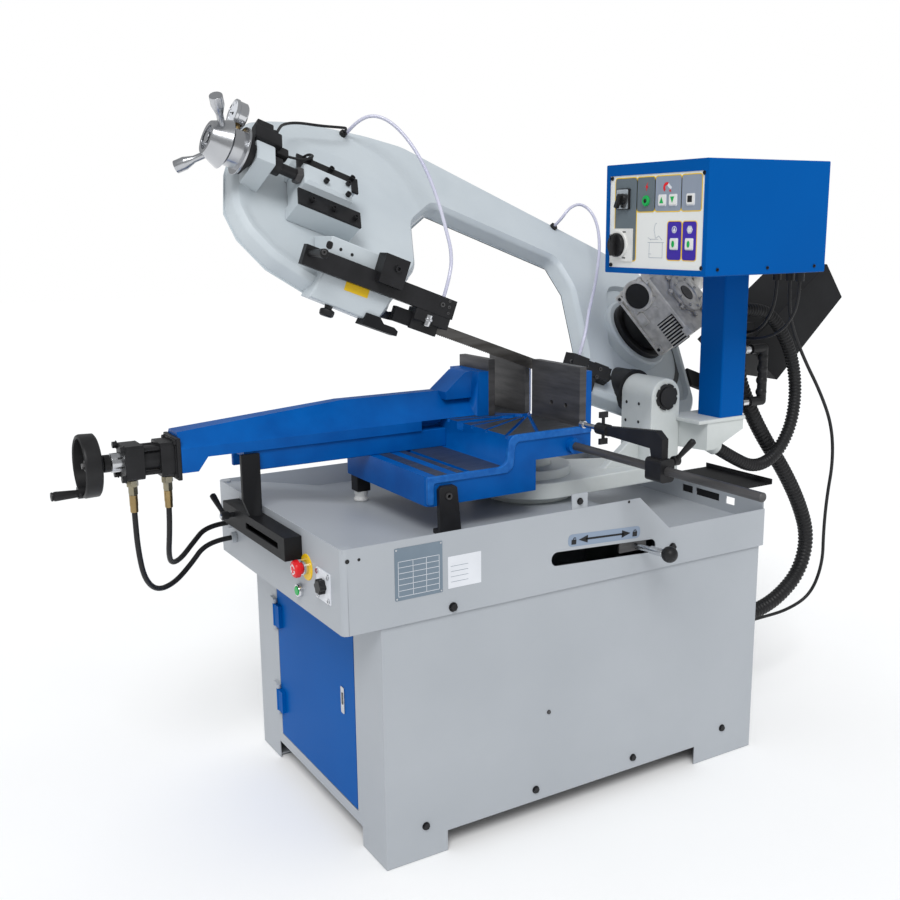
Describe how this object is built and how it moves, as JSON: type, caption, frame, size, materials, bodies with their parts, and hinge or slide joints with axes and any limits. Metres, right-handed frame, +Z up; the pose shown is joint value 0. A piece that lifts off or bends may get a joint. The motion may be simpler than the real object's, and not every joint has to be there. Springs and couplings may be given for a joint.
{
  "type": "metal cutting band saw",
  "caption": "Metal cutting band saw on a sheet cabinet: swivelling, tilting bow, sliding hydraulic vise, length stop, coolant tray and a control box on a post.",
  "frame": {"origin": "centre of the four foot bolts, on the floor", "axes": "+X along the front face to the right, +Y to the rear, +Z up"},
  "size_m": [2.236, 1.2895, 1.7105],
  "materials": {
    "grey_sheet": "light grey powder coat, semi-gloss",
    "grey_casting": "pale grey enamel on casting, semi-gloss",
    "bow_enamel": "pale grey-blue enamel, semi-gloss",
    "blue_enamel": "blue enamel, gloss",
    "blue_sheet": "blue powder coat, semi-gloss",
    "black_sheet": "black powder coat, matte",
    "black_casting": "blackened casting",
    "dark_steel": "ground tool steel, oiled",
    "bright_steel": "turned steel",
    "blade_steel": "spring steel band",
    "cast_aluminium": "bright cast aluminium",
    "wheel_iron": "machined cast iron",
    "red_plastic": "red, gloss",
    "green_plastic": "green, gloss",
    "white_plastic": "white, gloss",
    "black_plastic": "black, fine grain",
    "white_panel": "white sheet, satin",
    "black_hose": "black rubber, satin",
    "clear_hose": "clear PVC, gloss"
  },
  "bodies": {
    "base": {"cabinet": "grey_sheet", "tray": "grey_sheet", "turntable_base": "grey_casting", "vise_bed": "blue_enamel", "bed_legs": "black_sheet", "fixed_jaw_plates": "dark_steel", "vise_rail": "blue_enamel", "vise_support": "black_sheet", "stop_rod": "dark_steel", "chip_shelf": "black_sheet", "power_pack": "black_sheet"},
    "door": {"cabinet_door": "blue_sheet"},
    "estop": {"estop_button": "red_plastic"},
    "start": {"start_button": "green_plastic"},
    "regulator": {"regulator_knob": "black_plastic"},
    "mitre": {"mitre_lever": "bright_steel"},
    "support_clamp": {"support_lever": "black_plastic"},
    "stop": {"stop_clamp": "black_casting"},
    "stop_lock": {"stop_clamp_lever": "black_plastic"},
    "stop_feeler": {"stop_pin": "bright_steel"},
    "vise": {"vise_beam": "blue_enamel", "moving_jaw_plates": "dark_steel", "vise_cylinder": "black_casting", "vise_hose_front": "black_hose", "vise_hose_rear": "black_hose"},
    "handwheel": {"vise_handwheel": "black_plastic"},
    "crank": {"crank_grip": "black_plastic"},
    "swivel": {"swivel_arm": "grey_casting", "pivot_cap": "black_casting", "post_bracket": "grey_casting", "control_post": "blue_sheet", "post_handle": "black_plastic", "control_box": "blue_sheet", "control_panel": "white_panel", "conduit_loop": "black_hose", "conduit_main": "black_hose", "cable_run": "black_hose"},
    "main_knob": {"main_switch": "black_plastic"},
    "selector": {"selector_switch": "black_plastic"},
    "up_key": {"button_up": "white_plastic"},
    "down_key": {"button_down": "white_plastic"},
    "stop_key": {"button_stop": "black_plastic"},
    "coolant_key": {"button_coolant": "white_plastic"},
    "drive_key": {"button_drive": "white_plastic"},
    "bow": {"bow_casting": "bow_enamel", "pivot_shaft": "black_casting", "blade_cover": "black_sheet", "saw_blade": "blade_steel", "bow_fittings": "black_casting", "gearbox": "cast_aluminium", "motor": "cast_aluminium", "rear_guard": "black_sheet", "coolant_hose_left": "clear_hose", "coolant_hose_right": "clear_hose"},
    "drive": {"drive_wheel": "wheel_iron"},
    "tension": {"tension_slide": "bow_enamel"},
    "idler": {"idler_wheel": "wheel_iron"},
    "tensioner": {"tension_handle": "cast_aluminium"},
    "guide": {"guide_arm": "black_casting", "guide_grip": "black_plastic"}
  },
  "joints": [
    {"name": "door_hinge", "type": "hinge", "parent": "base", "child": "door", "pos_m": [-0.572, 0.231, 0.3], "axis": [0, 0, 1], "range_deg": [-110, 0]},
    {"name": "estop_press", "type": "slide", "parent": "base", "child": "estop", "axis": [1, 0, 0], "range_m": [0, 0.006], "stiffness_N_per_m": 1500},
    {"name": "start_press", "type": "slide", "parent": "base", "child": "start", "axis": [1, 0, 0], "range_m": [0, 0.004], "stiffness_N_per_m": 1200},
    {"name": "regulator_turn", "type": "hinge", "parent": "base", "child": "regulator", "pos_m": [-0.67, -0.287, 0.666], "axis": [1, 0, 0], "range_deg": [0, 270]},
    {"name": "mitre_lock", "type": "hinge", "parent": "base", "child": "mitre", "pos_m": [0.063, -0.018, 0.646], "axis": [0, 0, 1], "range_deg": [-36, 6]},
    {"name": "support_lock", "type": "hinge", "parent": "base", "child": "support_clamp", "pos_m": [-0.72, 0.15, 0.731], "axis": [1, 0, 0], "range_deg": [-60, 30]},
    {"name": "stop_slide", "type": "slide", "parent": "base", "child": "stop", "axis": [0, 1, 0], "range_m": [-0.28, 0.11]},
    {"name": "stop_lock_turn", "type": "hinge", "parent": "stop", "child": "stop_lock", "pos_m": [0.06, -0.569, 0.904], "axis": [1, 0, 0], "range_deg": [-40, 60]},
    {"name": "stop_pin_slide", "type": "slide", "parent": "stop", "child": "stop_feeler", "axis": [0, 1, 0], "range_m": [-0.015, 0.03]},
    {"name": "vise_slide", "type": "slide", "parent": "base", "child": "vise", "axis": [1, 0, 0], "range_m": [-0.16, 0.07], "deforming": ["vise_hose_front", "vise_hose_rear"]},
    {"name": "handwheel_turn", "type": "hinge", "parent": "vise", "child": "handwheel", "pos_m": [-1.04, 0.098, 0.906], "axis": [1, 0, 0], "range_deg": [-5760, 2520]},
    {"name": "crank_spin", "type": "hinge", "parent": "handwheel", "child": "crank", "pos_m": [-1.1, 0.098, 0.846], "axis": [1, 0, 0], "continuous": true},
    {"name": "swivel_turn", "type": "hinge", "parent": "base", "child": "swivel", "pos_m": [0.063, -0.018, 0.76], "axis": [0, 0, 1], "range_deg": [-45, 45], "deforming": ["conduit_main", "cable_run"]},
    {"name": "main_switch_turn", "type": "hinge", "parent": "swivel", "child": "main_knob", "pos_m": [0.27, -0.124, 1.367], "axis": [1, 0, 0], "range_deg": [0, 90]},
    {"name": "selector_turn", "type": "hinge", "parent": "swivel", "child": "selector", "pos_m": [0.27, -0.138, 1.48], "axis": [1, 0, 0], "range_deg": [-45, 45]},
    {"name": "up_press", "type": "slide", "parent": "swivel", "child": "up_key", "axis": [1, 0, 0], "range_m": [0, 0.003], "stiffness_N_per_m": 1200},
    {"name": "down_press", "type": "slide", "parent": "swivel", "child": "down_key", "axis": [1, 0, 0], "range_m": [0, 0.003], "stiffness_N_per_m": 1200},
    {"name": "stop_press", "type": "slide", "parent": "swivel", "child": "stop_key", "axis": [1, 0, 0], "range_m": [0, 0.003], "stiffness_N_per_m": 1200},
    {"name": "coolant_press", "type": "slide", "parent": "swivel", "child": "coolant_key", "axis": [1, 0, 0], "range_m": [0, 0.003], "stiffness_N_per_m": 1200},
    {"name": "drive_press", "type": "slide", "parent": "swivel", "child": "drive_key", "axis": [1, 0, 0], "range_m": [0, 0.003], "stiffness_N_per_m": 1200},
    {"name": "bow_lift", "type": "hinge", "parent": "swivel", "child": "bow", "pos_m": [0.415, -0.1, 0.963], "axis": [0, 1, 0], "range_deg": [-20.5, 12]},
    {"name": "drive_spin", "type": "hinge", "parent": "bow", "child": "drive", "pos_m": [0.55601, 0.14784, 1.09459], "axis": [0.2251, -0.766, 0.6021], "continuous": true},
    {"name": "tension_shift", "type": "slide", "parent": "bow", "child": "tension", "axis": [0.9367, 0, -0.3502], "range_m": [0, 0.012]},
    {"name": "idler_spin", "type": "hinge", "parent": "tension", "child": "idler", "pos_m": [-0.44061, 0.14784, 1.46721], "axis": [0.2251, -0.766, 0.6021], "continuous": true},
    {"name": "tension_turn", "type": "hinge", "parent": "bow", "child": "tensioner", "pos_m": [-0.64396, 0.10034, 1.58579], "axis": [0.9367, 0, -0.3502], "range_deg": [0, 1080]},
    {"name": "guide_slide", "type": "slide", "parent": "bow", "child": "guide", "axis": [0.9367, 0, -0.3502], "range_m": [0, 0.16], "deforming": ["coolant_hose_left"]}
  ],
  "couplings": [
    {"joint": "handwheel_turn", "follows": "vise_slide", "rad_per_m": 628.32},
    {"joint": "idler_spin", "follows": "drive_spin", "ratio": 1},
    {"joint": "tension_shift", "follows": "tension_turn", "m_per_rad": 0.00063662}
  ]
}
